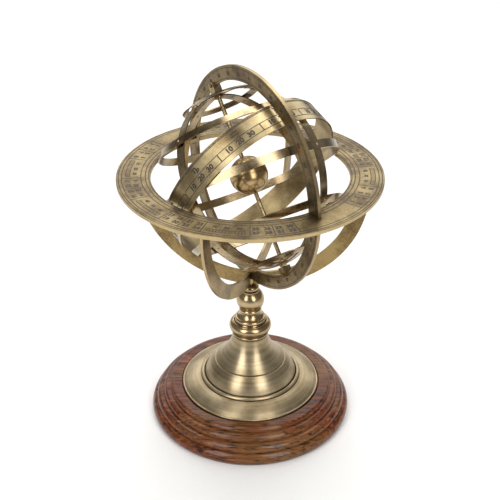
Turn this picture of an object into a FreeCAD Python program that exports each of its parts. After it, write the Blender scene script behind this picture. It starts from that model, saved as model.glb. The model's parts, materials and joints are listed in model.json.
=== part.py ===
import FreeCAD, Part
import os
import re
import Sketcher

# Armillary sphere on a turned wooden base.  The origin is the centre of the underside, +Z is up,
# and the slotted brass meridian ring stands in the XZ plane with the north pole towards -X.

doc = FreeCAD.newDocument("ArmillarySphere")
sheet = doc.addObject("Spreadsheet::Sheet", "Sizes")
Vector = FreeCAD.Vector
Rotation = FreeCAD.Rotation
Placement = FreeCAD.Placement

# ---------------------------------------------------------------- driving sizes, millimetres and degrees

SIZES = [
    ("felt_proud", "0.4"),
    ("felt_seat_top", "=felt_proud + 0.8"),
    ("felt_margin", "8.2"),
    ("felt_radius", "=wood_radius - felt_margin"),
    ("felt_seat_radius", "=felt_radius + 0.5"),

    ("wood_border", "23.8"),
    ("wood_radius", "=foot_seat_radius + wood_border"),
    ("wood_top", "23.5"),
    ("wood_edge_round", "1.8"),
    ("tier_step", "1.0"),
    ("tier_low_height", "9.6"),
    ("tier_mid_height", "15.4"),
    ("tier_high_height", "20.3"),
    ("tier_low_radius", "=wood_radius - 3.0"),
    ("tier_mid_radius", "=wood_radius - 8.4"),
    ("tier_high_radius", "=wood_radius - 13.7"),
    ("lip_radius", "=foot_seat_radius + 5.6"),
    ("foot_seat_radius", "=foot_radius + 0.4"),
    ("foot_seat_depth", "1.7"),

    ("foot_radius", "53"),
    ("foot_height", "46"),
    ("foot_wall", "2.2"),
    ("foot_neck_radius", "12.9"),
    ("foot_ring_radius", "38.2"),
    ("foot_ring_rise", "9.2"),
    ("foot_step_radius", "27.2"),
    ("foot_step_rise", "23.0"),

    ("bolt_radius", "2.5"),
    ("bolt_fit", "0.1"),
    ("bolt_head_width", "8"),
    ("bolt_head_height", "3.5"),
    ("washer_radius", "8"),
    ("washer_thickness", "1.2"),
    ("counterbore_radius", "=washer_radius + 1"),
    ("counterbore_top", "9"),
    ("bolt_bore", "=bolt_radius + bolt_fit"),

    ("knop_radius", "16"),
    ("knop_height", "12.6"),
    ("knop_foot_radius", "=foot_neck_radius + 0.7"),
    ("neck_height", "10.4"),
    ("neck_shoulder_radius", "11.5"),
    ("neck_waist_radius", "7.1"),
    ("neck_collar_radius", "8.5"),
    ("ball_radius", "10.5"),
    ("ball_neck_radius", "6.8"),
    ("ball_foot_radius", "7.6"),
    ("fork_radius", "6.5"),
    ("fork_post_radius", "2.6"),
    ("fork_disc_height", "5.038"),
    ("fork_prong_height", "5.2"),

    ("cradle_overlap", "7.5"),
    ("cradle_width", "10.8"),
    ("cradle_inner", "=meridian_outer - cradle_overlap"),
    ("cradle_outer", "=cradle_inner + cradle_width"),
    ("cradle_plate", "2.0"),
    ("cradle_drop", "7.8"),
    ("cradle_gap", "0.1"),
    ("cradle_half_web", "2.7"),
    ("cradle_east_turn", "46.6"),
    ("cradle_west_turn", "-55.7"),
    ("tenon_width", "7"),
    ("tenon_height", "1.6"),
    ("tenon_shoulder", "0.2"),

    ("horizon_overhang", "9.5"),
    ("sphere_room", "3.1"),
    ("horizon_outer", "=cradle_outer + horizon_overhang"),
    ("horizon_inner", "=zodiac_outside + sphere_room"),
    ("horizon_plate", "3"),
    ("horizon_top", "=cradle_bottom + cradle_outer + cradle_drop"),
    ("horizon_edge", "0.3"),

    ("meridian_width", "10.6"),
    ("meridian_inner", "=saddle_bottom + saddle_neck"),
    ("meridian_outer", "=meridian_inner + meridian_width"),
    ("meridian_plate", "2.5"),
    ("meridian_drop", "5.3"),
    ("meridian_gap", "0.2"),
    ("notch_end_gap", "0.35"),
    ("sphere_centre", "=horizon_top - meridian_drop"),

    ("pole_altitude", "50"),
    ("hour_angle", "19.3"),
    ("hoop_thickness", "0.9"),
    ("hoop_nesting", "0.15"),
    ("hoop_seat", "0.25"),
    ("inner_colure_inside", "62.65"),
    ("inner_colure_outside", "=inner_colure_inside + hoop_thickness"),
    ("outer_colure_inside", "=inner_colure_outside + hoop_nesting"),
    ("outer_colure_outside", "=outer_colure_inside + hoop_thickness"),
    ("parallel_inside", "=outer_colure_outside + hoop_seat"),
    ("parallel_outside", "=parallel_inside + hoop_thickness"),
    ("zodiac_inside", "=parallel_outside + hoop_seat"),
    ("zodiac_outside", "=zodiac_inside + hoop_thickness"),
    ("colure_width", "7"),
    ("equator_width", "6"),
    ("parallel_width", "5.6"),
    ("zodiac_width", "18.7"),
    ("zodiac_tilt", "24"),
    ("tropic_latitude", "33"),
    ("polar_latitude", "66.5"),

    ("rod_radius", "1.5"),
    ("pivot_radius", "1.0"),
    ("pivot_fit", "0.05"),
    ("rod_fit", "0.05"),
    ("globe_radius", "13.7"),
    ("globe_rise", "3"),
    ("hub_washer_radius", "3.2"),
    ("hub_washer_thickness", "0.8"),
    ("hub_seat", "0.12"),
    ("hub_nut_width", "5.2"),
    ("hub_nut_height", "0.9"),
    ("thrust_gap", "0.35"),
    ("hub_nut_top", "=outer_colure_outside + hub_seat + hub_nut_height"),
    ("saddle_bottom", "=hub_nut_top + thrust_gap"),
    ("saddle_neck", "4.63"),
    ("saddle_length", "6.4"),
    ("saddle_thickness", "6.2"),
    ("saddle_grip", "2.9"),
    ("saddle_floor_gap", "0.2"),
    ("saddle_slot_gap", "0.05"),
    ("saddle_screw_radius", "0.8"),
    ("saddle_screw_fit", "0.05"),
    ("saddle_screw_head", "1.5"),
    ("saddle_screw_head_height", "0.9"),
    ("saddle_screw_slot", "0.4"),

    ("rivet_radius", "0.6"),
    ("rivet_fit", "0.05"),
    ("rivet_head_radius", "0.9"),
    ("rivet_head_height", "0.45"),

    # Heights of the turned stem, each resting on the piece below it.
    ("foot_seat", "=wood_top - foot_seat_depth"),
    ("foot_top", "=foot_seat + foot_height"),
    ("knop_top", "=foot_top + knop_height"),
    ("neck_top", "=knop_top + neck_height"),
    ("ball_drop", "=sqrt(ball_radius ^ 2 - ball_foot_radius ^ 2)"),
    ("ball_centre", "=neck_top + ball_drop"),
    ("ball_rise", "=sqrt(ball_radius ^ 2 - ball_neck_radius ^ 2)"),
    ("ball_neck_low", "=ball_centre + ball_rise"),
    ("ball_top", "=ball_neck_low + 0.6"),
    ("cradle_bottom", "=ball_top + fork_disc_height + 0.05"),
    ("fork_floor", "=ball_top + fork_disc_height"),
    ("fork_top", "=fork_floor + fork_prong_height"),
    ("bolt_top", "=ball_centre + ball_radius / 2"),
    ("horizon_under", "=horizon_top - horizon_plate"),
    ("cradle_centre", "=cradle_bottom + cradle_outer"),
    ("cradle_web", "=cradle_bottom + cradle_half_web"),
    ("meridian_bottom", "=sphere_centre - meridian_outer"),
]

for row, (alias, value) in enumerate(SIZES, start=1):
    sheet.set("A%d" % row, alias)
    sheet.set("B%d" % row, value)
    sheet.setAlias("B%d" % row, alias)
doc.recompute()


def size(alias):
    """The value of a named cell of the sheet."""
    return float(getattr(sheet, alias))


def formula_in_sheet(formula):
    """The same formula, with each named cell written as the other objects see it."""
    names = {alias for alias, value in SIZES}
    return re.sub(r"[a-z_]+", lambda word: ("Sizes." if word[0] in names else "") + word[0], formula)


def bind(thing, **formulas):
    """Tie sizes of a document object to formulas over the named cells."""
    for name, formula in formulas.items():
        thing.setExpression(name.replace("__", "."), formula_in_sheet(formula))


def value_of(formula):
    """Work a formula out through a spare cell of the sheet."""
    sheet.set("D1", "=" + formula)
    sheet.recompute()
    return float(sheet.get("D1"))


# ---------------------------------------------------------------- ways of making a piece

ALONG_Y = Rotation(Vector(1, 0, 0), -90)
subparts = []


def name_piece(piece, label, placement=None):
    """Give a finished piece its label, which names its file, and its place."""
    piece.Label = label
    if placement is not None:
        piece.Placement = placement
    subparts.append(piece)
    return piece


def turned(name, outline):
    """Turn a closed outline about the local Z axis.

    Each entry is the radius and height of a corner, as formulas.  An entry of four formulas is the
    middle and then the end of an arc that starts at the corner before it.
    """
    body = doc.addObject("PartDesign::Body", name)
    sketch = body.newObject("Sketcher::SketchObject", name + "_outline")
    upright = [plane for plane in body.Origin.OriginFeatures if plane.Role == "XZ_Plane"][0]
    sketch.AttachmentSupport = [(upright, "")]
    sketch.MapMode = "FlatFace"
    corners = [Vector(value_of(entry[-2]), value_of(entry[-1]), 0) for entry in outline]
    starts = []
    ends = []
    for number, entry in enumerate(outline):
        start = corners[number - 1]
        end = corners[number]
        if len(entry) == 4:
            middle = Vector(value_of(entry[0]), value_of(entry[1]), 0)
            edge = sketch.addGeometry(Part.Arc(start, middle, end), False)
            forward = sketch.getPoint(edge, 1).distanceToPoint(start) < 1e-6
            on_arc = sketch.addGeometry(Part.Point(middle), True)
            sketch.addConstraint(Sketcher.Constraint("PointOnObject", on_arc, 1, edge))
            place_point(sketch, on_arc, 1, entry[0], entry[1])
        else:
            edge = sketch.addGeometry(Part.LineSegment(start, end), False)
            forward = True
        starts.append((edge, 1 if forward else 2))
        ends.append((edge, 2 if forward else 1))
    for number, entry in enumerate(outline):
        place_point(sketch, *ends[number], entry[-2], entry[-1])
        following = starts[(number + 1) % len(outline)]
        sketch.addConstraint(Sketcher.Constraint("Coincident", *ends[number], *following))
    turning = body.newObject("PartDesign::Revolution", name + "_turning")
    turning.Profile = sketch
    turning.ReferenceAxis = (sketch, ["V_Axis"])
    turning.Angle = 360
    return body


def place_point(sketch, edge, end, radius, height):
    """Hold a point of a sketch at a radius and a height that are formulas."""
    for kind, formula in (("DistanceX", radius), ("DistanceY", height)):
        number = sketch.addConstraint(Sketcher.Constraint(kind, -1, 1, edge, end, value_of(formula)))
        sketch.setExpression("Constraints[%d]" % number, formula_in_sheet(formula))


def cylinder(name, radius, length, start="0"):
    """A cylinder along local Z."""
    piece = doc.addObject("Part::Cylinder", name)
    bind(piece, Radius=radius, Height=length, Placement__Base__z=start)
    return piece


def block(name, x_size, y_size, z_size, x_start=None, y_start=None, z_start="0"):
    """A block, centred on X and Y unless its start is given."""
    piece = doc.addObject("Part::Box", name)
    bind(
        piece,
        Length=x_size,
        Width=y_size,
        Height=z_size,
        Placement__Base__x=x_start or "-(%s) / 2" % x_size,
        Placement__Base__y=y_start or "-(%s) / 2" % y_size,
        Placement__Base__z=z_start,
    )
    return piece


def cut(name, base, tool):
    """One piece with another taken away."""
    piece = doc.addObject("Part::Cut", name)
    piece.Base = base
    piece.Tool = tool
    return piece


def joined(name, pieces):
    """Pieces fused into one solid."""
    piece = doc.addObject("Part::MultiFuse", name)
    piece.Shapes = pieces
    return piece


def group(name, pieces):
    """Pieces kept as separate solids of one sub-part."""
    piece = doc.addObject("Part::Compound", name)
    piece.Links = pieces
    return piece


def turned_about(piece, angle):
    """The piece held in a group of its own, turned about Z."""
    holder = group(piece.Name + "_placed", [piece])
    holder.Placement = Placement(Vector(0, 0, 0), Rotation(Vector(0, 0, 1), angle))
    return holder


def band(name, inside, outside, width):
    """A flat strip bent into a hoop about local Z."""
    rim = cylinder(name + "_rim", outside, width, "-(%s) / 2" % width)
    bore = cylinder(name + "_bore", inside, "2 * (%s)" % width, "-(%s)" % width)
    return cut(name + "_strip", rim, bore)


def hexagon(name, across_flats, height, start):
    """A six-sided head or nut along local Z."""
    piece = doc.addObject("Part::Prism", name)
    piece.Polygon = 6
    bind(piece, Circumradius="(%s) / 2 / cos(30)" % across_flats, Height=height, Placement__Base__z=start)
    return piece


# ---------------------------------------------------------------- wooden base, felt and tie bolt

wood = turned("wood_base", [
    ("counterbore_radius", "counterbore_top"),
    ("counterbore_radius", "felt_seat_top"),
    ("felt_seat_radius", "felt_seat_top"),
    ("felt_seat_radius", "felt_proud"),
    ("wood_radius - wood_edge_round", "felt_proud"),
    ("wood_radius", "(felt_proud + tier_low_height) / 2", "tier_low_radius", "tier_low_height"),
    ("tier_low_radius - tier_step", "tier_low_height"),
    ("tier_low_radius - 0.4 * tier_step - 1", "tier_mid_height - 2.1", "tier_mid_radius", "tier_mid_height"),
    ("tier_mid_radius - tier_step", "tier_mid_height"),
    ("tier_mid_radius - 0.4 * tier_step - 1", "tier_high_height - 1.8", "tier_high_radius", "tier_high_height"),
    ("tier_high_radius - tier_step", "tier_high_height"),
    ("tier_high_radius - 0.4 * tier_step - 1", "wood_top - 0.9", "lip_radius", "wood_top"),
    ("foot_seat_radius + 1", "wood_top"),
    ("foot_seat_radius + 0.3", "wood_top - 0.3", "foot_seat_radius", "wood_top - 1"),
    ("foot_seat_radius", "foot_seat"),
    ("bolt_bore", "foot_seat"),
    ("bolt_bore", "counterbore_top"),
])
name_piece(wood, "wood_base")

felt = cylinder("base_felt", "felt_radius", "felt_seat_top")
name_piece(felt, "base_felt")

bolt_head_start = "counterbore_top - washer_thickness - bolt_head_height"
bolt_head = hexagon("bolt_head", "bolt_head_width", "bolt_head_height", bolt_head_start)
bolt_shank = cylinder("bolt_shank", "bolt_radius", "bolt_top - (%s)" % bolt_head_start, bolt_head_start)
name_piece(joined("tie_bolt", [bolt_head, bolt_shank]), "tie_bolt")

washer = turned("tie_washer", [
    ("bolt_bore", "counterbore_top - washer_thickness"),
    ("washer_radius", "counterbore_top - washer_thickness"),
    ("washer_radius", "counterbore_top"),
    ("bolt_bore", "counterbore_top"),
])
name_piece(washer, "tie_washer")

# ---------------------------------------------------------------- spun foot and turned stem

foot = turned("foot_bell", [
    ("foot_radius", "foot_seat"),
    ("foot_radius", "foot_seat + 1.6"),
    ("foot_radius - 0.3", "foot_seat + 2.5", "foot_radius - 1.2", "foot_seat + 2.6"),
    ("foot_radius - 7.3", "foot_seat + 6.5", "foot_ring_radius + 0.9", "foot_seat + foot_ring_rise - 0.5"),
    ("foot_ring_radius", "foot_seat + foot_ring_rise - 0.6"),
    ("foot_ring_radius - 0.6", "foot_seat + foot_ring_rise + 1.2",
     "foot_ring_radius - 2.2", "foot_seat + foot_ring_rise + 1.4"),
    ("foot_ring_radius - 2.8", "foot_seat + foot_ring_rise + 0.8"),
    ("foot_ring_radius - 5.9", "foot_seat + foot_ring_rise + 8",
     "foot_step_radius", "foot_seat + foot_step_rise"),
    ("foot_step_radius - 0.9", "foot_seat + foot_step_rise"),
    ("foot_step_radius - 1.0", "foot_seat + foot_step_rise + 0.9"),
    ("foot_step_radius - 8.6", "foot_seat + foot_step_rise + 9.2",
     "foot_neck_radius + 0.3", "foot_top - 0.6"),
    ("foot_neck_radius", "foot_top - 0.6"),
    ("foot_neck_radius", "foot_top"),
    ("bolt_bore", "foot_top"),
    ("bolt_bore", "foot_top - 2 * foot_wall"),
    ("foot_neck_radius - foot_wall", "foot_top - 2 * foot_wall"),
    ("foot_step_radius - 9 - foot_wall", "foot_seat + foot_step_rise + 7.2",
     "foot_step_radius - 1 - foot_wall", "foot_seat + foot_step_rise - 0.6"),
    ("foot_ring_radius - 6.3 - foot_wall", "foot_seat + foot_ring_rise + 6.6",
     "foot_ring_radius - 2.8 - foot_wall", "foot_seat + foot_ring_rise - 0.8"),
    ("foot_radius - 2 * foot_wall", "foot_seat"),
])
name_piece(foot, "foot_bell")

knop = turned("stem_knop", [
    ("bolt_bore", "foot_top"),
    ("knop_foot_radius - 0.5", "foot_top"),
    ("knop_foot_radius + 0.3", "foot_top + 1.1", "knop_foot_radius - 0.3", "foot_top + 2.3"),
    ("knop_foot_radius + 0.1", "foot_top + 3.4"),
    ("knop_radius", "(foot_top + knop_top) / 2 + 1", "knop_radius - 2.4", "knop_top - 1.1"),
    ("knop_radius - 3.2", "knop_top - 0.6", "knop_radius - 4", "knop_top - 1"),
    ("neck_shoulder_radius", "knop_top"),
    ("bolt_bore", "knop_top"),
])
name_piece(knop, "stem_knop")

neck = turned("stem_neck", [
    ("bolt_bore", "knop_top"),
    ("neck_shoulder_radius - 0.3", "knop_top"),
    ("neck_shoulder_radius + 0.3", "knop_top + 1.4", "neck_shoulder_radius - 1.2", "knop_top + 2.8"),
    ("neck_waist_radius + 0.7", "knop_top + 5.6", "neck_waist_radius", "neck_top - 2.9"),
    ("neck_collar_radius - 0.5", "neck_top - 2.6"),
    ("neck_collar_radius", "neck_top - 1.3", "neck_collar_radius - 0.6", "neck_top"),
    ("bolt_bore", "neck_top"),
])
name_piece(neck, "stem_neck")

stem_ball = turned("stem_ball", [
    ("bolt_bore", "neck_top"),
    ("ball_foot_radius", "neck_top"),
    ("ball_radius", "ball_centre", "ball_neck_radius", "ball_neck_low"),
    ("ball_neck_radius", "ball_top"),
    ("bolt_bore", "ball_top"),
])
name_piece(stem_ball, "stem_ball")

fork_blank = turned("fork_blank", [
    ("0", "bolt_top + 0.5"),
    ("bolt_radius", "bolt_top + 0.5"),
    ("bolt_radius", "ball_top"),
    ("fork_radius - 0.8", "ball_top"),
    ("fork_radius", "ball_top + fork_disc_height / 2 - 0.4", "fork_radius - 1.6", "fork_floor - 0.5"),
    ("fork_post_radius", "fork_floor - 0.1"),
    ("fork_post_radius", "fork_top"),
    ("0", "fork_top"),
])
plate_turns = (("east", "cradle_east_turn"), ("west", "cradle_west_turn"))
plate_slots = []
for side, turn in plate_turns:
    slot = block("fork_slot_" + side, "3 * fork_radius", "cradle_plate + 2 * cradle_gap",
                 "2 * fork_prong_height", z_start="fork_floor")
    plate_slots.append(turned_about(slot, value_of(turn)))
fork = cut("stem_fork", fork_blank, group("fork_slots", plate_slots))
name_piece(fork, "stem_fork")

# ---------------------------------------------------------------- cradle, two crossed half rings


def half_ring(side):
    """A half ring standing in the XZ plane, with a tenon at each end."""
    rim = cylinder("cradle_rim_" + side, "cradle_outer", "cradle_plate", "-cradle_plate / 2")
    bore = cylinder("cradle_bore_" + side, "cradle_inner", "2 * cradle_plate", "-cradle_plate")
    ring = cut("cradle_ring_" + side, rim, bore)
    ring.Placement = Placement(Vector(0, 0, size("cradle_centre")), ALONG_Y)
    above = block("cradle_above_" + side, "3 * cradle_outer", "3 * cradle_plate", "2 * cradle_outer",
                  z_start="horizon_under")
    arms = cut("cradle_arms_" + side, ring, above)
    return joined("cradle_blank_" + side, [arms] + tenons(side, "0"))


def tenons(side, gap):
    """The two tenons of a half ring, or with a gap the pockets that take them."""
    middle = "(cradle_outer + cradle_inner) / 2"
    width = "tenon_width + 2 * (%s)" % gap
    thickness = "cradle_plate - 2 * tenon_shoulder + 2 * (%s)" % gap
    height = "tenon_height + tenon_shoulder + (%s)" % gap
    pieces = []
    for end in ("-", "+"):
        start = "%s(%s) - (%s) / 2" % (end, middle, width)
        name = "tenon_%s_%d" % (side, len(doc.Objects))
        pieces.append(block(name, width, thickness, height, x_start=start,
                            z_start="horizon_under - tenon_shoulder"))
    return pieces


def crossing_cut(side, other_turn, own_turn, low, high):
    """The half of the crossing joint that lets the other plate through."""
    slot = block("crossing_" + side, "cradle_plate * 4", "cradle_plate + 2 * cradle_gap",
                 "(%s) - (%s)" % (high, low), z_start=low)
    return turned_about(slot, value_of(other_turn) - value_of(own_turn))


def meridian_clearance(side, own_turn):
    """The slot in a plate that the foot of the meridian ring slides through."""
    slot = block("slide_" + side, "6 * meridian_plate", "meridian_plate + 2 * meridian_gap",
                 "cradle_outer", z_start="meridian_bottom - 2 * meridian_gap")
    return turned_about(slot, -value_of(own_turn))


crossings = (
    ("east", "cradle_east_turn", "cradle_west_turn", "cradle_web", "cradle_centre"),
    ("west", "cradle_west_turn", "cradle_east_turn", "cradle_bottom - 1", "cradle_web"),
)
for side, own, other, low, high in crossings:
    cuts = [crossing_cut(side, other, own, low, high), meridian_clearance(side, own)]
    plate = cut("cradle_" + side, half_ring(side), group("cradle_cuts_" + side, cuts))
    plate_place = Placement(Vector(0, 0, 0), Rotation(Vector(0, 0, 1), value_of(own)))
    name_piece(plate, "cradle_" + side, plate_place)

# ---------------------------------------------------------------- horizon ring

horizon_blank = turned("horizon_blank", [
    ("horizon_inner", "horizon_under"),
    ("horizon_outer - horizon_edge", "horizon_under"),
    ("horizon_outer", "horizon_under + horizon_edge"),
    ("horizon_outer", "horizon_top - horizon_edge"),
    ("horizon_outer - horizon_edge", "horizon_top"),
    ("horizon_inner + horizon_edge", "horizon_top"),
    ("horizon_inner", "horizon_top - horizon_edge"),
])
notch = block("horizon_notches", "2 * (meridian_outer + notch_end_gap)",
              "meridian_plate + 2 * meridian_gap", "3 * horizon_plate",
              z_start="horizon_under - horizon_plate")
pockets = []
for side, turn in plate_turns:
    holes = group("pockets_" + side, tenons("pocket_" + side, "cradle_gap"))
    holes.Placement = Placement(Vector(0, 0, 0), Rotation(Vector(0, 0, 1), value_of(turn)))
    pockets.append(holes)
horizon = cut("horizon_ring", horizon_blank, group("horizon_cuts", [notch] + pockets))
name_piece(horizon, "horizon_ring")

# ---------------------------------------------------------------- meridian ring and pole saddles

centre = Vector(0, 0, size("sphere_centre"))
pole_tilt = Rotation(Vector(0, 1, 0), size("pole_altitude") - 90)
POLES = (("north", 0), ("south", 180))
screw_height = "meridian_inner + saddle_grip / 2"


def at_pole(flip):
    """The place of a piece whose local Z points from the centre to one of the poles."""
    return Placement(centre, pole_tilt.multiply(Rotation(Vector(0, 1, 0), flip)))


def across_plate(name, radius, length, start):
    """A cylinder across the meridian plate at the height of a saddle screw, in the frame of a pole."""
    piece = cylinder(name, radius, length, screw_height)
    piece.Placement = Placement(Vector(0, 0, 0), ALONG_Y)
    bind(piece, Placement__Base__y=start)
    return piece


meridian_blank = band("meridian", "meridian_inner", "meridian_outer", "meridian_plate")
meridian_blank.Placement = Placement(centre, ALONG_Y)
screw_bore = "saddle_screw_radius + saddle_screw_fit"
plate_holes = []
for pole, flip in POLES:
    hole = across_plate("plate_hole_" + pole, screw_bore, "2 * meridian_plate", "-meridian_plate")
    holder = group("plate_hole_placed_" + pole, [hole])
    holder.Placement = at_pole(flip)
    plate_holes.append(holder)
meridian = cut("meridian_ring", meridian_blank, group("plate_holes", plate_holes))
name_piece(meridian, "meridian_ring")

screws = []
for pole, flip in POLES:
    saddle_blank = block("saddle_blank_" + pole, "saddle_length", "saddle_thickness",
                         "meridian_inner + saddle_grip - saddle_bottom", z_start="saddle_bottom")
    plate_slot = block("saddle_slot_" + pole, "2 * saddle_length",
                       "meridian_plate + 2 * saddle_slot_gap", "4 * saddle_grip",
                       z_start="meridian_inner - saddle_floor_gap")
    pivot_bore = cylinder("pivot_bore_" + pole, "pivot_radius + pivot_fit", "2 * saddle_thickness",
                          "saddle_bottom - 1")
    screw_hole = across_plate("saddle_hole_" + pole, screw_bore, "2 * saddle_thickness", "-saddle_thickness")
    hollows = group("saddle_hollows_" + pole, [plate_slot, pivot_bore, screw_hole])
    saddle = cut("pole_saddle_" + pole, saddle_blank, hollows)
    name_piece(saddle, "pole_saddle_" + pole, at_pole(flip))

    shank = across_plate("screw_shank_" + pole, "saddle_screw_radius", "saddle_thickness",
                         "-saddle_thickness / 2")
    head = across_plate("screw_head_" + pole, "saddle_screw_head", "saddle_screw_head_height",
                        "-saddle_thickness / 2 - saddle_screw_head_height")
    driver = block("screw_slot_" + pole, "3 * saddle_screw_head", "saddle_screw_head_height",
                   "saddle_screw_slot",
                   y_start="-saddle_thickness / 2 - 1.5 * saddle_screw_head_height",
                   z_start="meridian_inner + saddle_grip / 2 - saddle_screw_slot / 2")
    screw = cut("screw_" + pole, joined("screw_blank_" + pole, [shank, head]), driver)
    screw.Placement = at_pole(flip)
    screws.append(screw)
name_piece(group("saddle_screws", screws), "saddle_screws")

# ---------------------------------------------------------------- rivets of the turning sphere

# The sphere is drawn with its axis on Z and its June solstice on +X, then tilted into place.
sky = Placement(centre, pole_tilt.multiply(Rotation(Vector(0, 0, 1), size("hour_angle"))))


def outward(latitude, longitude):
    """The rotation that takes Z to a point of the sphere."""
    around = Rotation(Vector(0, 0, 1), longitude)
    return around.multiply(Rotation(Vector(0, 1, 0), 90 - latitude))


def rivet(name, latitude, longitude, inside, outside):
    """A headed pin through the bands from the inside radius to the outside one."""
    shank = cylinder(name + "_shank", "rivet_radius", "(%s) - (%s) + rivet_fit" % (outside, inside),
                     "(%s) - rivet_fit" % inside)
    head = doc.addObject("Part::Cone", name + "_head")
    bind(head, Radius1="rivet_head_radius", Radius2="rivet_head_radius / 2",
         Height="rivet_head_height", Placement__Base__z=outside)
    tail = doc.addObject("Part::Cone", name + "_tail")
    bind(tail, Radius1="rivet_head_radius / 2", Radius2="rivet_head_radius",
         Height="rivet_head_height", Placement__Base__z="(%s) - rivet_head_height - rivet_fit" % inside)
    pin = joined(name, [shank, head, tail])
    pin.Placement = Placement(Vector(0, 0, 0), outward(latitude, longitude))
    drill = cylinder(name + "_drill", "rivet_radius + rivet_fit", "10 * hoop_thickness",
                     "inner_colure_inside - hoop_thickness")
    hole = group(name + "_hole", [drill])
    hole.Placement = pin.Placement
    return pin, hole


tropic = size("tropic_latitude")
polar = size("polar_latitude")
tilt = size("zodiac_tilt")
outer_colure_longitudes = (0, 180)
inner_colure_longitudes = (90, 270)
hoop_pins = []
zodiac_pins = []
holes = []
for latitude in (polar, tropic, 0, -tropic, -polar):
    for longitude in outer_colure_longitudes:
        name = "rivet_%d" % len(holes)
        pin, hole = rivet(name, latitude, longitude, "outer_colure_inside", "parallel_outside")
        hoop_pins.append(pin)
        holes.append(hole)
for latitude in (polar, tropic, -tropic, -polar):
    for longitude in inner_colure_longitudes:
        name = "rivet_%d" % len(holes)
        pin, hole = rivet(name, latitude, longitude, "inner_colure_inside", "parallel_outside")
        hoop_pins.append(pin)
        holes.append(hole)
for latitude, longitude in ((tilt, 0), (-tilt, 180)):
    name = "rivet_%d" % len(holes)
    pin, hole = rivet(name, latitude, longitude, "outer_colure_inside", "zodiac_outside")
    zodiac_pins.append(pin)
    holes.append(hole)
for longitude in inner_colure_longitudes:
    name = "rivet_%d" % len(holes)
    pin, hole = rivet(name, 0, longitude, "inner_colure_inside", "zodiac_outside")
    zodiac_pins.append(pin)
    holes.append(hole)
name_piece(group("hoop_rivets", hoop_pins), "hoop_rivets", sky)
name_piece(group("zodiac_rivets", zodiac_pins), "zodiac_rivets", sky)
rod_bore = cylinder("rod_bore", "rod_radius + rod_fit", "4 * outer_colure_outside",
                    "-2 * outer_colure_outside")
drills = group("hoop_drills", holes + [rod_bore])

# ---------------------------------------------------------------- bands of the turning sphere

hoops = (
    ("colure_solstitial", "outer_colure_inside", "outer_colure_outside", "colure_width",
     Rotation(Vector(1, 0, 0), 90)),
    ("colure_equinoctial", "inner_colure_inside", "inner_colure_outside", "colure_width",
     Rotation(Vector(0, 1, 0), 90)),
    ("equator_hoop", "parallel_inside", "parallel_outside", "equator_width", Rotation()),
    ("zodiac_band", "zodiac_inside", "zodiac_outside", "zodiac_width",
     Rotation(Vector(0, 1, 0), -tilt)),
)
for name, inside, outside, width, turn in hoops:
    strip = band(name, inside, outside, width)
    strip.Placement = Placement(Vector(0, 0, 0), turn)
    name_piece(cut(name, strip, drills), name, sky)


def parallel_corner(latitude, radius, side):
    """A corner of a band that lies flat on the sphere at a latitude, as formulas."""
    reach = "(%s) * cos(%s) - (%s) * parallel_width / 2 * sin(%s)" % (radius, latitude, side, latitude)
    rise = "(%s) * sin(%s) + (%s) * parallel_width / 2 * cos(%s)" % (radius, latitude, side, latitude)
    return (reach, rise)


parallels = (
    ("tropic_cancer", "tropic_latitude", 0),
    ("tropic_capricorn", "tropic_latitude", 180),
    ("arctic_circle", "polar_latitude", 0),
    ("antarctic_circle", "polar_latitude", 180),
)
for name, latitude, flip in parallels:
    strip = turned(name + "_strip", [
        parallel_corner(latitude, "parallel_inside", "-1"),
        parallel_corner(latitude, "parallel_outside", "-1"),
        parallel_corner(latitude, "parallel_outside", "1"),
        parallel_corner(latitude, "parallel_inside", "1"),
    ])
    strip.Placement = Placement(Vector(0, 0, 0), Rotation(Vector(1, 0, 0), flip))
    name_piece(cut(name, strip, drills), name, sky)

# ---------------------------------------------------------------- polar rod, hubs and globe

rod_end = "meridian_inner - 2 * saddle_floor_gap"
rod = turned("polar_rod", [
    ("0", "-(%s)" % rod_end),
    ("pivot_radius", "-(%s)" % rod_end),
    ("pivot_radius", "-hub_nut_top"),
    ("rod_radius", "-hub_nut_top"),
    ("rod_radius", "hub_nut_top"),
    ("pivot_radius", "hub_nut_top"),
    ("pivot_radius", rod_end),
    ("0", rod_end),
])
name_piece(rod, "polar_rod", sky)

globe_blank = doc.addObject("Part::Sphere", "globe_blank")
bind(globe_blank, Radius="globe_radius", Placement__Base__z="globe_rise")
globe_bore = cylinder("globe_bore", "rod_radius + rod_fit", "4 * globe_radius", "-2 * globe_radius")
name_piece(cut("earth_globe", globe_blank, globe_bore), "earth_globe", sky)

washers = []
nuts = []
for pole, flip in POLES:
    face = Placement(Vector(0, 0, 0), Rotation(Vector(1, 0, 0), flip))
    washer = turned("hub_washer_" + pole, [
        ("rod_radius + rod_fit", "inner_colure_inside - hub_seat - hub_washer_thickness"),
        ("hub_washer_radius", "inner_colure_inside - hub_seat - hub_washer_thickness"),
        ("hub_washer_radius", "inner_colure_inside - hub_seat"),
        ("rod_radius + rod_fit", "inner_colure_inside - hub_seat"),
    ])
    washer.Placement = face
    washers.append(washer)
    nut_blank = hexagon("hub_nut_blank_" + pole, "hub_nut_width", "hub_nut_height",
                        "outer_colure_outside + hub_seat")
    nut_bore = cylinder("hub_nut_bore_" + pole, "rod_radius + rod_fit", "2 * outer_colure_outside")
    nut = cut("hub_nut_" + pole, nut_blank, nut_bore)
    nut.Placement = face
    nuts.append(nut)
name_piece(group("hub_washers", washers), "hub_washers", sky)
name_piece(group("hub_nuts", nuts), "hub_nuts", sky)

# ---------------------------------------------------------------- check and write

doc.recompute()
faults = [thing.Name for thing in doc.Objects if {"Invalid", "Error"} & set(thing.State)]
for piece in subparts:
    if piece.Shape.isNull() or not piece.Shape.isValid() or not piece.Shape.Solids:
        faults.append(piece.Label)
if faults:
    raise RuntimeError("pieces that failed: " + ", ".join(faults))

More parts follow.
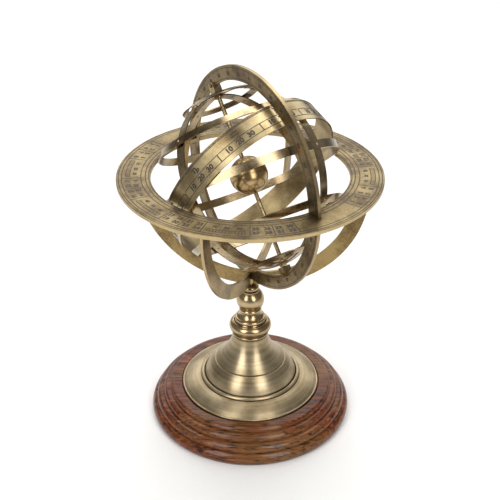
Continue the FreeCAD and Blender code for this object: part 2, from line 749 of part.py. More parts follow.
os.makedirs("parts", exist_ok=True)
for piece in subparts:
    piece.Shape.exportStep("parts/%s.step" % piece.Label)
    box = piece.Shape.BoundBox
    print("%-20s solids %2d volume %10.1f z %6.1f to %6.1f"
          % (piece.Label, len(piece.Shape.Solids), piece.Shape.Volume, box.ZMin, box.ZMax))
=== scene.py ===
import json
from math import cos, pi, radians, sin, tau

import bmesh
import bpy
from mathutils import Matrix, Vector


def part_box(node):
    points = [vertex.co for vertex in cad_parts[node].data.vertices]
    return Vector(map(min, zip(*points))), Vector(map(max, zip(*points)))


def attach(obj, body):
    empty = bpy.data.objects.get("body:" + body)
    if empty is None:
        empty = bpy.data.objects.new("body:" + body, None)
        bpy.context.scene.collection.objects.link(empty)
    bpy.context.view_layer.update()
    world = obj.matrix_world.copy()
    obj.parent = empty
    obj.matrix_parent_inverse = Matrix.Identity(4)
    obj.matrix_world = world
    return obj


# Brass armillary sphere on a turned rosewood base.  Metres, +Z up, and the base's underside is at
# Z = 0.  The sections follow in the order in which the sphere is put together.

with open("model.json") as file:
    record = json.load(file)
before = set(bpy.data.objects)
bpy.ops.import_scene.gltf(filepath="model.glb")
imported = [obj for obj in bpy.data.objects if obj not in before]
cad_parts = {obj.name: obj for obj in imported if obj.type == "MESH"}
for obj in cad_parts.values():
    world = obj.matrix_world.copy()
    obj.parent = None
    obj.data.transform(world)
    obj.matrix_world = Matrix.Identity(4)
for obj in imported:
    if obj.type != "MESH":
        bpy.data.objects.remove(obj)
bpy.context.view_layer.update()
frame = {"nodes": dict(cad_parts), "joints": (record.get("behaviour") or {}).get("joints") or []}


# ------------------------------------------------------------------------------- rosewood base
# The base is one disc of rosewood, turned to four rounded tiers and lacquered to a high gloss.
# A pad of green baize is glued into the hollow of its underside.

MM = 0.001
nodes = frame["nodes"]

ROSEWOOD_DARK = (0.022, 0.009, 0.005, 1)
ROSEWOOD_RED = (0.145, 0.036, 0.011, 1)
ROSEWOOD_LIGHT = (0.300, 0.100, 0.028, 1)
ROSEWOOD_OCHRE = (0.190, 0.085, 0.027, 1)
BAIZE_DARK = (0.012, 0.038, 0.020, 1)
BAIZE_GREEN = (0.020, 0.060, 0.034, 1)

# The grain runs straight through the disc.  Its scales are per metre along it, across it and up.
GRAIN_TURN = (0, 0, radians(-56))
BROAD_GRAIN = (22, 150, 300)
FINE_GRAIN = (60, 480, 800)
PORE_GRAIN = (160, 2600, 2600)
PATCH_SCALE = 20
STREAK_WEIGHT = 0.85
PORE_DEPTH = 0.03 * MM
NAP_SCALE = 900
NAP_DEPTH = 0.2 * MM


class Recipe:
    """A material whose nodes are added one at a time."""

    # Where a mixing node takes its two colours and gives the mixed one.
    FIRST_COLOUR, SECOND_COLOUR, MIXED_COLOUR = 6, 7, 2

    def __init__(self, name):
        self.material = bpy.data.materials.new(name)
        self.material.use_nodes = True
        self.tree = self.material.node_tree
        self.shader = self.tree.nodes["Principled BSDF"]

    def add(self, kind, settings=None, **inputs):
        """Add a node, with its settings, and its inputs as values or as other nodes' outputs."""
        made = self.tree.nodes.new("ShaderNode" + kind)
        for name, value in (settings or {}).items():
            setattr(made, name, value)
        for name, value in inputs.items():
            self.feed(made, name.replace("_", " "), value)
        return made

    def feed(self, node, socket, value):
        """Set an input, or link it when the value is another node's output."""
        if isinstance(value, bpy.types.NodeSocket):
            self.tree.links.new(value, node.inputs[socket])
        else:
            node.inputs[socket].default_value = value

    def surface(self, **inputs):
        """Feed the shader itself."""
        for name, value in inputs.items():
            self.feed(self.shader, name.replace("_", " "), value)

    def place(self, scale, turn=(0, 0, 0)):
        """Places in the piece, turned, then multiplied by one scale or by one for each axis."""
        if not isinstance(scale, tuple):
            scale = (scale, scale, scale)
        piece = self.add("TexCoord").outputs["Object"]
        turned = self.add("Mapping", Vector=piece, Rotation=turn).outputs["Vector"]
        return self.add("Mapping", Vector=turned, Scale=scale).outputs["Vector"]

    def noise(self, vector, scale, detail, roughness=0.5, distortion=0.0):
        """Noise from 0 to 1 over any coordinates."""
        made = self.add("TexNoise", Vector=vector, Scale=scale, Detail=detail,
                        Roughness=roughness, Distortion=distortion)
        return made.outputs["Fac"]

    def clouds(self, scale, detail, roughness=0.5, distortion=0.0, turn=(0, 0, 0)):
        """Noise all through the piece, its scale in clouds per metre."""
        return self.noise(self.place(scale, turn), 1.0, detail, roughness, distortion)

    def ramp(self, factor, *stops):
        """Colours or greys set out along a factor, each stop a position and a colour."""
        made = self.add("ValToRGB", Fac=factor)
        stripe = made.color_ramp
        while len(stripe.elements) < len(stops):
            stripe.elements.new(0.5)
        for element, (position, colour) in zip(stripe.elements, stops):
            element.position = position
            element.color = colour if isinstance(colour, tuple) else (colour, colour, colour, 1)
        return made.outputs["Color"]

    def blend(self, factor, first, second, way="MIX"):
        """Two colours mixed."""
        made = self.add("Mix", {"data_type": "RGBA", "blend_type": way}, Factor=factor)
        self.feed(made, self.FIRST_COLOUR, first)
        self.feed(made, self.SECOND_COLOUR, second)
        return made.outputs[self.MIXED_COLOUR]

    def reckon(self, way, first, second=0.0):
        """One step of arithmetic on two values."""
        made = self.add("Math", {"operation": way})
        self.feed(made, 0, first)
        self.feed(made, 1, second)
        return made.outputs[0]

    def bump(self, height, depth, strength):
        """Relief of a real depth in metres."""
        return self.add("Bump", Height=height, Distance=depth, Strength=strength).outputs["Normal"]


def rosewood():
    """Lacquered rosewood: long dark streaks in red brown, fine pores, and a gloss coat."""
    wood = Recipe("lacquered_rosewood")
    layers = wood.clouds(BROAD_GRAIN, 5.0, 0.65, 1.1, GRAIN_TURN)
    streaks = wood.clouds(FINE_GRAIN, 4.0, 0.7, 0.5, GRAIN_TURN)
    patches = wood.clouds(PATCH_SCALE, 2.0)
    pores = wood.clouds(PORE_GRAIN, 2.0, turn=GRAIN_TURN)
    colour = wood.ramp(layers, (0.36, ROSEWOOD_DARK), (0.44, ROSEWOOD_RED),
                       (0.54, ROSEWOOD_RED), (0.66, ROSEWOOD_LIGHT))
    ochre = wood.ramp(patches, (0.50, 0.0), (0.68, 0.8))
    colour = wood.blend(ochre, colour, ROSEWOOD_OCHRE)
    shade = wood.ramp(streaks, (0.38, 0.08), (0.52, 1.0))
    colour = wood.blend(STREAK_WEIGHT, colour, shade, "MULTIPLY")
    wood.surface(Base_Color=colour, Roughness=0.36, Specular_IOR_Level=0.08, Coat_Weight=0.45,
                 Coat_Roughness=0.06, Normal=wood.bump(pores, PORE_DEPTH, 0.4))
    return wood.material


def baize():
    """Green baize with a short nap."""
    cloth = Recipe("green_baize")
    nap = cloth.clouds(NAP_SCALE, 3.0)
    colour = cloth.ramp(nap, (0.3, BAIZE_DARK), (0.7, BAIZE_GREEN))
    cloth.surface(Base_Color=colour, Roughness=0.95, Sheen_Weight=0.4,
                  Normal=cloth.bump(nap, NAP_DEPTH, 0.6))
    return cloth.material


def dress(material, *names):
    """Give metal, wood or cloth its finish."""
    for name in names:
        nodes[name].data.materials.clear()
        nodes[name].data.materials.append(material)


dress(rosewood(), "wood_base")
dress(baize(), "base_felt")


# ------------------------------------------------------------------------------- bolt and washer
# A steel bolt comes up through the base, its head in a pocket above the baize.  It draws the foot
# and the stem together, and its end is screwed into the fork.

ZINC_DARK = (0.34, 0.34, 0.35, 1)
ZINC_LIGHT = (0.52, 0.52, 0.53, 1)
ZINC_SCALE = 400


def zinc_steel():
    """Dull zinc-plated steel."""
    steel = Recipe("zinc_steel")
    colour = steel.ramp(steel.clouds(ZINC_SCALE, 3.0), (0.3, ZINC_DARK), (0.7, ZINC_LIGHT))
    steel.surface(Base_Color=colour, Metallic=1.0, Roughness=0.38)
    return steel.material


dress(zinc_steel(), "tie_bolt", "tie_washer")


# ------------------------------------------------------------------------------- foot and stem
# The foot is spun from brass sheet, and the knop, neck, ball and fork are turned from bar.  All
# were toned to an old gold.  The foot keeps its brushing, and the stem is polished.

FOOT_GOLD = (0.480, 0.390, 0.250, 1)
FOOT_BROWN = (0.258, 0.192, 0.102, 1)
FOOT_BRUSHING = 0.68
FOOT_ROUGHNESS = 0.29
STEM_GOLD = (0.500, 0.385, 0.225, 1)
STEM_BROWN = (0.250, 0.170, 0.085, 1)
STEM_BRUSHING = 0.0
STEM_ROUGHNESS = 0.15
# Painted shade: a near-black brown laid into grooves, corners and hollows, also standing for
# patina.
SHADE_AND_PATINA_BROWN = (0.035, 0.022, 0.010, 1)
LATHE_SCRATCHES = 2600
LATHE_BANDS = 420
TURNED_CLOUDS = 60
SCRATCH_DEPTH = 0.02 * MM


def weigh(metal, first, weight, second):
    """Two values mixed, the first by its weight and the second by the rest."""
    return metal.reckon("ADD", metal.reckon("MULTIPLY", first, weight),
                        metal.reckon("MULTIPLY", second, 1 - weight))


def rise(metal, least, span, factor):
    """A value that rises from its least over a span as a factor goes from 0 to 1."""
    return metal.reckon("ADD", metal.reckon("MULTIPLY", factor, span), least)


def recess(metal, reach, dark, light):
    """Mask for painted shade, also standing for patina: 0 in grooves and corners and 1 in the
    open, from how much of the surface sees itself.
    """
    made = metal.add("AmbientOcclusion", {"samples": 8, "only_local": True}, Distance=reach)
    return metal.ramp(made.outputs["AO"], (dark, 0.0), (light, 1.0))


def turned_brass(name, gold, brown, brushing, rough):
    """Lathe-finished brass: rings of fine scratches about Z, and painted shade in the grooves that
    also stands for patina there.
    """
    brass = Recipe(name)
    spread = brass.add("SeparateXYZ", Vector=brass.place(1))
    x, y, z = (spread.outputs[axis] for axis in "XYZ")
    squares = brass.reckon("ADD", brass.reckon("MULTIPLY", x, x), brass.reckon("MULTIPLY", y, y))
    lathe = brass.add("CombineXYZ", X=brass.reckon("SQRT", squares), Y=z).outputs[0]
    scratches = brass.noise(lathe, LATHE_SCRATCHES, 3.0, 0.6)
    bands = brass.noise(lathe, LATHE_BANDS, 3.0, 0.6)
    cloud = brass.clouds(TURNED_CLOUDS, 4.0, 0.6)
    colour = brass.ramp(weigh(brass, cloud, 0.6, bands), (0.34, brown), (0.58, gold))
    # Painted shade, darkest in grooves and corners, also standing for patina in the hollows.
    colour = brass.blend(recess(brass, 3 * MM, 0.42, 0.90), SHADE_AND_PATINA_BROWN, colour)
    around = brass.add("Tangent", {"direction_type": "RADIAL", "axis": "Z"})
    brass.surface(Base_Color=colour, Metallic=1.0, Roughness=rise(brass, rough, 0.14, bands),
                  Anisotropic=brushing, Anisotropic_Rotation=0.25, Tangent=around.outputs[0],
                  Normal=brass.bump(scratches, SCRATCH_DEPTH, 0.35))
    return brass.material


dress(turned_brass("spun_brass", FOOT_GOLD, FOOT_BROWN, FOOT_BRUSHING, FOOT_ROUGHNESS),
      "foot_bell")
dress(turned_brass("stem_brass", STEM_GOLD, STEM_BROWN, STEM_BRUSHING, STEM_ROUGHNESS),
      "stem_knop", "stem_neck", "stem_ball", "stem_fork")


# ------------------------------------------------------------------------------- cradle
# Two half rings sawn from 2 mm brass plate cross in the fork and carry the horizon ring on
# tenons.  Their faces were toned and their edges rubbed back to bright metal.

PLATE_GOLD = (0.350, 0.250, 0.108, 1)
PLATE_BROWN = (0.130, 0.086, 0.038, 1)
EDGE_GOLD = (0.700, 0.540, 0.300, 1)
PLATE_CLOUDS = 45
PLATE_SPECKLES = 700
SPECKLE_DEPTH = 0.04 * MM
CRADLE_WEAR = 0.5
POINT_STEP = 7


def aged_plate(name, gold, brown, face_axis, wear):
    """Toned plate, cloudy on the faces that look along its face axis and worn bright on edges."""
    plate = Recipe(name)
    cloud = plate.clouds(PLATE_CLOUDS, 5.0, 0.65)
    speckle = plate.clouds(PLATE_SPECKLES, 3.0, 0.6)
    colour = plate.ramp(weigh(plate, cloud, 0.72, speckle), (0.40, brown), (0.60, gold))
    along = plate.add("VectorMath", {"operation": "DOT_PRODUCT"})
    plate.feed(along, 0, plate.add("TexCoord").outputs["Normal"])
    plate.feed(along, 1, face_axis)
    facing = plate.reckon("ABSOLUTE", along.outputs["Value"])
    on_edge = plate.ramp(facing, (0.25, 1.0), (0.75, 0.0))
    colour = plate.blend(plate.reckon("MULTIPLY", on_edge, wear), colour, EDGE_GOLD)
    # Painted shade in corners and hollows of the plate, from the occlusion mask, also standing for
    # patina.
    colour = plate.blend(recess(plate, 4 * MM, 0.30, 0.80), SHADE_AND_PATINA_BROWN, colour)
    plate.surface(Base_Color=colour, Metallic=1.0, Roughness=rise(plate, 0.26, 0.22, cloud),
                  Normal=plate.bump(speckle, SPECKLE_DEPTH, 0.35))
    return plate.material


def plate_normal(name):
    """The direction that the face of a thin upright plate looks in, from its thinnest spread."""
    points = [vertex.co for vertex in nodes[name].data.vertices][::POINT_STEP]
    turns = [radians(step) for step in range(180)]
    spread = {}
    for turn in turns:
        reach = [point.x * cos(turn) + point.y * sin(turn) for point in points]
        spread[turn] = max(reach) - min(reach)
    thinnest = min(turns, key=spread.get)
    return (cos(thinnest), sin(thinnest), 0)


for side in ("east", "west"):
    half_ring = "cradle_" + side
    dress(aged_plate("cradle_brass_" + side, PLATE_GOLD, PLATE_BROWN, plate_normal(half_ring),
                     CRADLE_WEAR), half_ring)


# ------------------------------------------------------------------------------- horizon ring
# A flat ring of 3 mm plate, etched on top with circles, cells and figures, and filled with black
# wax.  Plain stretches are left where the meridian ring passes through its two notches.

ETCHED_GOLD = (0.340, 0.258, 0.124, 1)
ETCHED_BROWN = (0.118, 0.080, 0.035, 1)
HORIZON_WEAR = 0.5
WAX_BLACK = (0.018, 0.012, 0.008, 1)
WAX_BROWN = (0.055, 0.038, 0.022, 1)
WAX_GRAIN = 1500
WAX_PROUD = 0.03 * MM
WAX_DEPTH = 0.06 * MM
LONGEST_FLAT = 2.0 * MM
FIGURE_WEIGHT = 0.055
FIGURE_CURVES = 3

# Where the circles and cells lie, in shares of the ring's radius.
RIM_CIRCLES = (0.982, 0.958)
NOTCHED_CIRCLES = (0.815, 0.782, 0.757)
CELL_TOP = 0.818
CELL_MIDDLE = 0.885
CELL_BOTTOM = 0.956
NUMBER_ROWS = (0.859, 0.916)
TENS_ROW = 0.862
SCALE_EDGES = (0.898, 0.930)

CELLS = 7
CELL_SPAN = radians(146 / CELLS)
PLAIN_HALF = radians(17)
PLAIN_CENTRE = radians(4)
NOTCH_ROOM = 0.9 * MM
HORIZON_LINE = 0.68 * MM
SCALE_LINE = 0.8 * HORIZON_LINE
SCALE_TICKS = 12
NUMBER_HEIGHT = 3.9 * MM
TENS_HEIGHT = 3.0 * MM
TENS_SPACING = 0.27
SCALE_HALF = 0.4

dress(aged_plate("etched_brass", ETCHED_GOLD, ETCHED_BROWN, (0, 0, 1), HORIZON_WEAR),
      "horizon_ring")


def black_wax():
    """Black wax rubbed into etched lines."""
    wax = Recipe("black_wax")
    colour = wax.ramp(wax.clouds(WAX_GRAIN, 2.0), (0.3, WAX_BLACK), (0.8, WAX_BROWN))
    wax.surface(Base_Color=colour, Roughness=0.62)
    return wax.material


wax_fill = black_wax()


def line(marks, start, end, width):
    """A straight mark between two flat points, cut short enough to bend round a ring."""
    start = Vector(start)
    end = Vector(end)
    run = end - start
    steps = max(1, int(run.length / LONGEST_FLAT))
    side = Vector((-run.y, run.x)).normalized() * width / 2
    points = []
    for step in range(steps + 1):
        middle = start + run * step / steps
        points += [middle - side, middle + side]
    faces = [(2 * step, 2 * step + 2, 2 * step + 3, 2 * step + 1) for step in range(steps)]
    marks.append((points, faces))


def figure(marks, text, height, at):
    """Engraver's figures of a height, centred on a flat point."""
    curve = bpy.data.curves.new("figure", "FONT")
    curve.body = text
    curve.resolution_u = FIGURE_CURVES
    curve.offset = FIGURE_WEIGHT
    holder = bpy.data.objects.new("figure", curve)
    mesh = bpy.data.meshes.new_from_object(holder)
    points = [vertex.co.to_2d() for vertex in mesh.vertices]
    low = Vector((min(point.x for point in points), min(point.y for point in points)))
    high = Vector((max(point.x for point in points), max(point.y for point in points)))
    grow = height / (high.y - low.y)
    points = [Vector(at) + (point - (low + high) / 2) * grow for point in points]
    marks.append((points, [tuple(face.vertices) for face in mesh.polygons]))
    bpy.data.objects.remove(holder)
    bpy.data.curves.remove(curve)
    bpy.data.meshes.remove(mesh)


def fill_marks(name, marks, place, body):
    """Make the flat marks into thin wax fillings laid into a surface by its place function."""
    mesh = bmesh.new()
    for points, faces in marks:
        floor = [mesh.verts.new((point.x, point.y, -WAX_DEPTH)) for point in points]
        flat = [mesh.faces.new([floor[corner] for corner in face]) for face in faces]
        raised = bmesh.ops.extrude_face_region(mesh, geom=flat, use_keep_orig=True)
        for part in raised["geom"]:
            if isinstance(part, bmesh.types.BMVert):
                part.co.z = WAX_PROUD
    for vertex in mesh.verts:
        vertex.co = place(vertex.co.x, vertex.co.y, vertex.co.z)
    bmesh.ops.recalc_face_normals(mesh, faces=mesh.faces)
    data = bpy.data.meshes.new(name)
    mesh.to_mesh(data)
    mesh.free()
    data.materials.append(wax_fill)
    piece = bpy.data.objects.new(name, data)
    bpy.context.scene.collection.objects.link(piece)
    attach(piece, body)


def arc(marks, place, first, last, share, width):
    """A mark along part of a circle of a ring."""
    line(marks, place(first, share), place(last, share), width)


horizon_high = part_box("horizon_ring")[1]
horizon_outer = horizon_high.x
horizon_middle = CELL_MIDDLE * horizon_outer
notch_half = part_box("meridian_ring")[1].y + NOTCH_ROOM


def horizon_place(along, across, lift):
    """A point of the ring's top, with the figures' feet towards its rim."""
    turn = along / horizon_middle
    reach = horizon_middle - across
    return Vector((reach * cos(turn), reach * sin(turn), horizon_high.z + lift))


def on_horizon(turn, share):
    """A flat point from an angle and from a share of the ring's radius."""
    return (turn * horizon_middle, horizon_middle - share * horizon_outer)


def divider(turn):
    """A line across the cells."""
    line(horizon_marks, on_horizon(turn, CELL_TOP), on_horizon(turn, CELL_BOTTOM), HORIZON_LINE)


def number_cell(turn, first):
    """Four small numbers, two over two."""
    for row, share in enumerate(NUMBER_ROWS):
        for column in (0, 1):
            at = on_horizon(turn + (2 * column - 1) * CELL_SPAN / 8, share)
            figure(horizon_marks, str(first + 2 * row + column), NUMBER_HEIGHT, at)


def scale_cell(turn, first):
    """A row of tens over a row of even ticks between two lines."""
    for step in (-1, 0, 1):
        at = on_horizon(turn + step * CELL_SPAN * TENS_SPACING, TENS_ROW)
        figure(horizon_marks, str(first + 10 * (step + 2)), TENS_HEIGHT, at)
    low = turn - CELL_SPAN * SCALE_HALF
    high = turn + CELL_SPAN * SCALE_HALF
    for share in SCALE_EDGES:
        arc(horizon_marks, on_horizon, low, high, share, SCALE_LINE)
    for tick in range(SCALE_TICKS + 1):
        at = low + (high - low) * tick / SCALE_TICKS
        line(horizon_marks, *(on_horizon(at, share) for share in SCALE_EDGES), SCALE_LINE)


horizon_marks = []
for share in RIM_CIRCLES:
    arc(horizon_marks, on_horizon, 0, tau, share, HORIZON_LINE)
for share in NOTCHED_CIRCLES:
    short = notch_half / (share * horizon_outer)
    for half in range(2):
        arc(horizon_marks, on_horizon, half * pi + short, (half + 1) * pi - short, share,
            HORIZON_LINE)

# On each half of the ring, cells split into two lots of numbers take turns with cells of tens.
for half in range(2):
    start = PLAIN_CENTRE + PLAIN_HALF + half * pi
    for cell in range(CELLS):
        left = start + cell * CELL_SPAN
        pair = cell // 2
        divider(left)
        if cell % 2:
            scale_cell(left + CELL_SPAN / 2, 30 * pair)
        else:
            divider(left + CELL_SPAN / 2)
            number_cell(left + CELL_SPAN / 4, 8 * pair + 1)
            number_cell(left + CELL_SPAN * 3 / 4, 8 * pair + 5)
    divider(start + CELLS * CELL_SPAN)
fill_marks("horizon_marks", horizon_marks, horizon_place, "stand")


# ------------------------------------------------------------------------------- meridian ring
# An upright ring of 2.5 mm plate that slides round in the notches to set the pole's height.  Both
# faces are etched every 5 degrees, and brass saddles screwed to it hold the ends of the axis.

MERIDIAN_GOLD = (0.275, 0.205, 0.106, 1)
MERIDIAN_BROWN = (0.105, 0.072, 0.036, 1)
MERIDIAN_WEAR = 0.35
FITTING_BROWN = (0.22, 0.155, 0.078, 1)
FITTING_GOLD = (0.40, 0.30, 0.165, 1)
FITTING_CLOUDS = 300

# Where the circles, ticks and figures lie, in shares of the ring's radius.
MERIDIAN_CIRCLES = (0.888, 0.978)
MERIDIAN_TICK = (0.958, 0.978)
MERIDIAN_MIDDLE = 0.935
MERIDIAN_ROW = 0.928
MERIDIAN_LINE = 0.45 * MM
MERIDIAN_FIGURE = 2.9 * MM

dress(aged_plate("meridian_brass", MERIDIAN_GOLD, MERIDIAN_BROWN, (0, 1, 0), MERIDIAN_WEAR),
      "meridian_ring")

meridian_low, meridian_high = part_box("meridian_ring")
sphere_centre = (meridian_low + meridian_high) / 2
meridian_outer = meridian_high.x - sphere_centre.x
meridian_middle = MERIDIAN_MIDDLE * meridian_outer


def on_meridian(turn, share):
    """A flat point from an angle and from a share of the ring's radius."""
    return (turn * meridian_middle, share * meridian_outer - meridian_middle)


def meridian_face(side):
    """The place function of one face, which side -1 turns to the front."""
    def place(along, across, lift):
        turn = along / meridian_middle
        reach = meridian_middle + across
        return sphere_centre + Vector((-side * reach * sin(turn), side * (meridian_high.y + lift),
                                       reach * cos(turn)))
    return place


meridian_marks = []
for share in MERIDIAN_CIRCLES:
    arc(meridian_marks, on_meridian, 0, tau, share, MERIDIAN_LINE)
for degree in range(0, 360, 5):
    turn = radians(degree)
    line(meridian_marks, *(on_meridian(turn, share) for share in MERIDIAN_TICK), MERIDIAN_LINE)
    if degree % 10 == 0:
        from_top_or_foot = 90 - abs(degree % 180 - 90)
        figure(meridian_marks, str(from_top_or_foot), MERIDIAN_FIGURE,
               on_meridian(turn, MERIDIAN_ROW))
fill_marks("meridian_marks_front", meridian_marks, meridian_face(-1), "meridian")
fill_marks("meridian_marks_back", meridian_marks, meridian_face(1), "meridian")


def fitting_brass():
    """Bar and wire brass with a plain satin finish."""
    brass = Recipe("fitting_brass")
    cloud = brass.clouds(FITTING_CLOUDS, 3.0)
    colour = brass.ramp(cloud, (0.35, FITTING_BROWN), (0.65, FITTING_GOLD))
    brass.surface(Base_Color=colour, Metallic=1.0, Roughness=0.27)
    return brass.material


small_brass = fitting_brass()
dress(small_brass, "pole_saddle_north", "pole_saddle_south", "saddle_screws")


# ------------------------------------------------------------------------------- hoops
# Seven hoops of thin satin brass strip are riveted where they cross: two colures through the
# poles, the equator, two tropics and two polar circles.

HOOP_LIGHT = (0.440, 0.345, 0.205, 1)
HOOP_BROWN = (0.150, 0.103, 0.053, 1)
HOOP_ROUGHNESS = 0.13
STRIP_CLOUDS = 55
ROLLING_LINES = 900
ROLLING_DEPTH = 0.03 * MM


def satin_strip(name, light, brown, rough):
    """Rolled strip: a soft cloudy tone, and rolling lines too fine to see singly."""
    strip = Recipe(name)
    cloud = strip.clouds(STRIP_CLOUDS, 4.0, 0.6)
    fine = strip.clouds(ROLLING_LINES, 3.0, 0.6)
    colour = strip.ramp(weigh(strip, cloud, 0.8, fine), (0.36, brown), (0.60, light))
    # Painted shade in corners and hollows of the strip, from the occlusion mask, also standing for
    # patina.
    colour = strip.blend(recess(strip, 3 * MM, 0.30, 0.80), SHADE_AND_PATINA_BROWN, colour)
    strip.surface(Base_Color=colour, Metallic=1.0, Roughness=rise(strip, rough, 0.18, cloud),
                  Normal=strip.bump(fine, ROLLING_DEPTH, 0.3))
    return strip.material


dress(satin_strip("hoop_brass", HOOP_LIGHT, HOOP_BROWN, HOOP_ROUGHNESS),
      "colure_solstitial", "colure_equinoctial", "equator_hoop", "tropic_cancer",
      "tropic_capricorn", "arctic_circle", "antarctic_circle")
dress(small_brass, "hoop_rivets", "zodiac_rivets")


# ------------------------------------------------------------------------------- zodiac band
# The widest hoop, tilted to the equator, carries a sign and a scale of tens for each twelfth of
# the year.  Its outer face is etched and waxed, and its inner face is left plain satin.

ZODIAC_GOLD = (0.500, 0.400, 0.220, 1)
ZODIAC_BROWN = (0.230, 0.165, 0.080, 1)
ZODIAC_ROUGHNESS = 0.22
HOUR_ANGLE = radians(19.3)
ZODIAC_TILT = radians(24)

# Where the lines, signs and figures lie, in shares of the band's half width.
ZODIAC_CIRCLES = (0.90, 0.80, 0.02, -0.60)
ZODIAC_TICK = (0.80, 0.90)
ZODIAC_DIVIDER = (-0.60, 0.02)
SIGN_ROW = 0.41
ZODIAC_TENS_ROW = -0.29

ZODIAC_LINE = 0.55 * MM
ZODIAC_TICK_LINE = 0.36 * MM
ZODIAC_DIVIDER_LINE = 0.8 * MM
ZODIAC_FIGURE = 4.2 * MM
SIGN_LINE = 1.0 * MM
SIGN_HEIGHT = 5.8 * MM
LOOP_STEPS = 8


def loop(x, y, radius, first=0, last=360):
    """Points along part of a circle, angles in degrees."""
    turns = [radians(first + (last - first) * step / LOOP_STEPS) for step in range(LOOP_STEPS + 1)]
    return [(x + radius * cos(turn), y + radius * sin(turn)) for turn in turns]


# Each sign is a few strokes in a square that runs from -1 to 1.
TWO_ARCHES = [
    [(-0.9, 0.8), (-0.9, -0.6)],
    loop(-0.6, 0.5, 0.3, 180, 0) + [(-0.3, -0.6)],
]
SIGNS = {
    "ram": [
        [(0, -1), (0, 0.2)] + loop(0.42, 0.42, 0.42, 180, -30),
        loop(-0.42, 0.42, 0.42, 0, 210),
    ],
    "bull": [
        loop(0, -0.4, 0.6),
        loop(0, 1.2, 1.0, 205, 335),
    ],
    "twins": [
        loop(0, 2.4, 1.7, 240, 300),
        loop(0, -2.4, 1.7, 60, 120),
        [(-0.4, -0.8), (-0.4, 0.8)],
        [(0.4, -0.8), (0.4, 0.8)],
    ],
    "crab": [
        loop(-0.5, 0.3, 0.3),
        loop(0, -0.1, 0.85, 150, 40),
        loop(0.5, -0.3, 0.3),
        loop(0, 0.1, 0.85, 330, 220),
    ],
    "lion": [
        loop(-0.5, -0.3, 0.3),
        loop(0.05, 0.35, 0.6, 220, -20),
        [(0.6, 0.15), (0.3, -0.6), (0.55, -0.95), (0.9, -0.7)],
    ],
    "maiden": TWO_ARCHES + [
        loop(0, 0.5, 0.3, 180, 0) + [(0.3, -0.5), (0.8, -1)],
        loop(0.45, 0.0, 0.4, 110, -110),
    ],
    "scales": [
        [(-0.9, -0.8), (0.9, -0.8)],
        [(-0.9, -0.35), (-0.35, -0.35)] + loop(0, 0.2, 0.55, 225, -45)
        + [(0.35, -0.35), (0.9, -0.35)],
    ],
    "scorpion": TWO_ARCHES + [
        loop(0, 0.5, 0.3, 180, 0) + [(0.3, -0.6), (0.6, -0.85), (0.95, -0.5)],
        [(0.7, -0.4), (0.95, -0.5), (0.98, -0.8)],
    ],
    "archer": [
        [(-0.8, -0.8), (0.8, 0.8)],
        [(0.1, 0.8), (0.8, 0.8), (0.8, 0.1)],
        [(-0.6, 0.0), (0.0, -0.6)],
    ],
    "goat": [
        [(-0.9, 0.7), (-0.5, 0.4), (-0.5, -0.6)],
        loop(-0.15, 0.35, 0.35, 180, 0) + [(0.2, -0.4)],
        loop(0.5, -0.35, 0.32),
        [(0.2, -0.4), (0.0, -0.95)],
    ],
    "water": [
        [(-0.9, 0.2), (-0.5, 0.6), (-0.2, 0.2), (0.2, 0.6), (0.5, 0.2), (0.9, 0.6)],
        [(-0.9, -0.5), (-0.5, -0.1), (-0.2, -0.5), (0.2, -0.1), (0.5, -0.5), (0.9, -0.1)],
    ],
    "fishes": [
        loop(-1.4, 0, 1.1, -55, 55),
        loop(1.4, 0, 1.1, 125, 235),
        [(-0.7, 0), (0.7, 0)],
    ],
}

dress(satin_strip("zodiac_brass", ZODIAC_GOLD, ZODIAC_BROWN, ZODIAC_ROUGHNESS), "zodiac_band")

spin = next(joint for joint in frame["joints"] if joint["name"] == "sphere_spin")
pole = Vector(spin["axis"])
lean = Vector((0, 0, 1)).rotation_difference(pole).to_matrix().to_4x4()
sky = Matrix.Translation(sphere_centre) @ lean @ Matrix.Rotation(HOUR_ANGLE, 4, "Z")
ecliptic = sky @ Matrix.Rotation(-ZODIAC_TILT, 4, "Y")
back_to_band = ecliptic.inverted()
band_points = [back_to_band @ vertex.co for vertex in nodes["zodiac_band"].data.vertices]
band_radius = max(point.to_2d().length for point in band_points)
band_half = max(point.z for point in band_points)


def zodiac_place(along, across, lift):
    """A point of the band's outer face."""
    turn = along / band_radius
    reach = band_radius + lift
    return ecliptic @ Vector((reach * cos(turn), reach * sin(turn), across))


def on_zodiac(turn, share):
    """A flat point from an angle and from a share of the band's half width."""
    return (turn * band_radius, share * band_half)


def across_zodiac(turn, shares, width):
    """A line across part of the band, between two shares of its half width."""
    line(zodiac_marks, *(on_zodiac(turn, share) for share in shares), width)


zodiac_marks = []
for share in ZODIAC_CIRCLES:
    arc(zodiac_marks, on_zodiac, 0, tau, share, ZODIAC_LINE)
for degree in range(0, 360, 3):
    across_zodiac(radians(degree), ZODIAC_TICK, ZODIAC_TICK_LINE)
for number, strokes in enumerate(SIGNS.values()):
    start = radians(30 * number)
    across_zodiac(start, ZODIAC_DIVIDER, ZODIAC_DIVIDER_LINE)
    middle = Vector(on_zodiac(start + radians(15), SIGN_ROW))
    for stroke in strokes:
        corners = [middle + Vector(corner) * SIGN_HEIGHT / 2 for corner in stroke]
        for first, last in zip(corners, corners[1:]):
            line(zodiac_marks, first, last, SIGN_LINE)
    for step in (1, 2, 3):
        at = on_zodiac(start + radians(7.5 * step), ZODIAC_TENS_ROW)
        figure(zodiac_marks, str(10 * step), ZODIAC_FIGURE, at)
fill_marks("zodiac_marks", zodiac_marks, zodiac_place, "celestial_sphere")


# ------------------------------------------------------------------------------- axis and globe
# A brass rod runs from pole to pole, held by a washer and a nut at each end of the sphere, and
# carries a small polished globe near its middle.

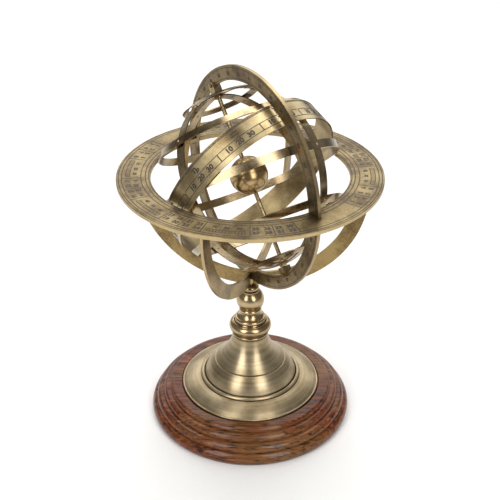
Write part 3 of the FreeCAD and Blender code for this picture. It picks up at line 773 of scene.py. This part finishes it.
GLOBE_BROWN = (0.33, 0.22, 0.095, 1)
GLOBE_GOLD = (0.46, 0.33, 0.165, 1)
GLOBE_CLOUDS = 120


def polished_brass():
    """Polished brass, with a breath of tarnish."""
    brass = Recipe("polished_brass")
    cloud = brass.clouds(GLOBE_CLOUDS, 4.0)
    colour = brass.ramp(cloud, (0.35, GLOBE_BROWN), (0.65, GLOBE_GOLD))
    brass.surface(Base_Color=colour, Metallic=1.0, Roughness=rise(brass, 0.20, 0.08, cloud))
    return brass.material


dress(polished_brass(), "earth_globe")
dress(small_brass, "polar_rod", "hub_washers", "hub_nuts")


# ------------------------------------------------------------------------------- studio
# A pale sweep, two tall soft boxes beside the camera, and two broad ones behind the sphere, one
# low as a backdrop and one high overhead.

AIM = Vector((-0.0001, -0.0002, 0.1406))
LOOK_FROM = radians(-33.7)
LOOK_DOWN = radians(30.68)
FAR = 0.776
LENS_LENGTH = 76.26
FILM_WIDTH = 36
NEAREST_SEEN = 10 * MM
ROOM_LIGHT = (1.0, 0.985, 0.96, 1)
ROOM_STRENGTH = 0.24
PAPER_GREY = (0.86, 0.855, 0.845, 1)
PAPER_WHITE = (0.89, 0.885, 0.875, 1)
PAPER_GRAIN = 300
SWEEP_REACH = 4

# Name, turn from the camera and rise in degrees, distance, width and height in metres, and watts.
SOFT_BOXES = (
    ("soft_box_right", 31, 34, 1.3, 0.5, 1.3, 9),
    ("soft_box_left", -38, 34, 1.3, 0.5, 1.3, 9),
    ("backdrop", 180, 30, 1.8, 3.0, 1.1, 16),
    ("soft_box_top", 180, 70, 1.5, 1.2, 1.0, 16),
)


def seen_from(turn, rise_angle, distance):
    """A place at a direction and a distance from the point that the camera looks at."""
    level = cos(rise_angle)
    return AIM + distance * Vector((level * cos(turn), level * sin(turn), sin(rise_angle)))


def aimed(thing, place):
    """Stand a light or camera at a place, facing the point that the camera looks at."""
    thing.location = place
    thing.rotation_euler = (AIM - place).to_track_quat("-Z", "Y").to_euler()
    bpy.context.scene.collection.objects.link(thing)


lens = bpy.data.cameras.new("camera")
lens.lens = LENS_LENGTH
lens.sensor_width = FILM_WIDTH
lens.clip_start = NEAREST_SEEN
camera = bpy.data.objects.new("camera", lens)
aimed(camera, seen_from(LOOK_FROM, LOOK_DOWN, FAR))
bpy.context.scene.camera = camera

for name, turn, lift, distance, width, height, watts in SOFT_BOXES:
    glow = bpy.data.lights.new(name, "AREA")
    glow.shape = "RECTANGLE"
    glow.size = width
    glow.size_y = height
    glow.energy = watts
    aimed(bpy.data.objects.new(name, glow),
          seen_from(LOOK_FROM + radians(turn), radians(lift), distance))

world = bpy.data.worlds.new("studio")
world.use_nodes = True
room = world.node_tree.nodes["Background"]
room.inputs["Color"].default_value = ROOM_LIGHT
room.inputs["Strength"].default_value = ROOM_STRENGTH
bpy.context.scene.world = world
bpy.context.scene.view_settings.view_transform = "Standard"


def pale_paper():
    """Matt pale paper."""
    paper = Recipe("pale_paper")
    colour = paper.ramp(paper.clouds(PAPER_GRAIN, 2.0), (0.0, PAPER_GREY), (1.0, PAPER_WHITE))
    paper.surface(Base_Color=colour, Roughness=0.9)
    return paper.material


sweep_mesh = bpy.data.meshes.new("sweep")
sweep_mesh.from_pydata([(-SWEEP_REACH, -SWEEP_REACH, 0), (SWEEP_REACH, -SWEEP_REACH, 0),
                        (SWEEP_REACH, SWEEP_REACH, 0), (-SWEEP_REACH, SWEEP_REACH, 0)],
                       [], [(0, 1, 2, 3)])
sweep_mesh.materials.append(pale_paper())
sweep = bpy.data.objects.new("sweep", sweep_mesh)
bpy.context.scene.collection.objects.link(sweep)
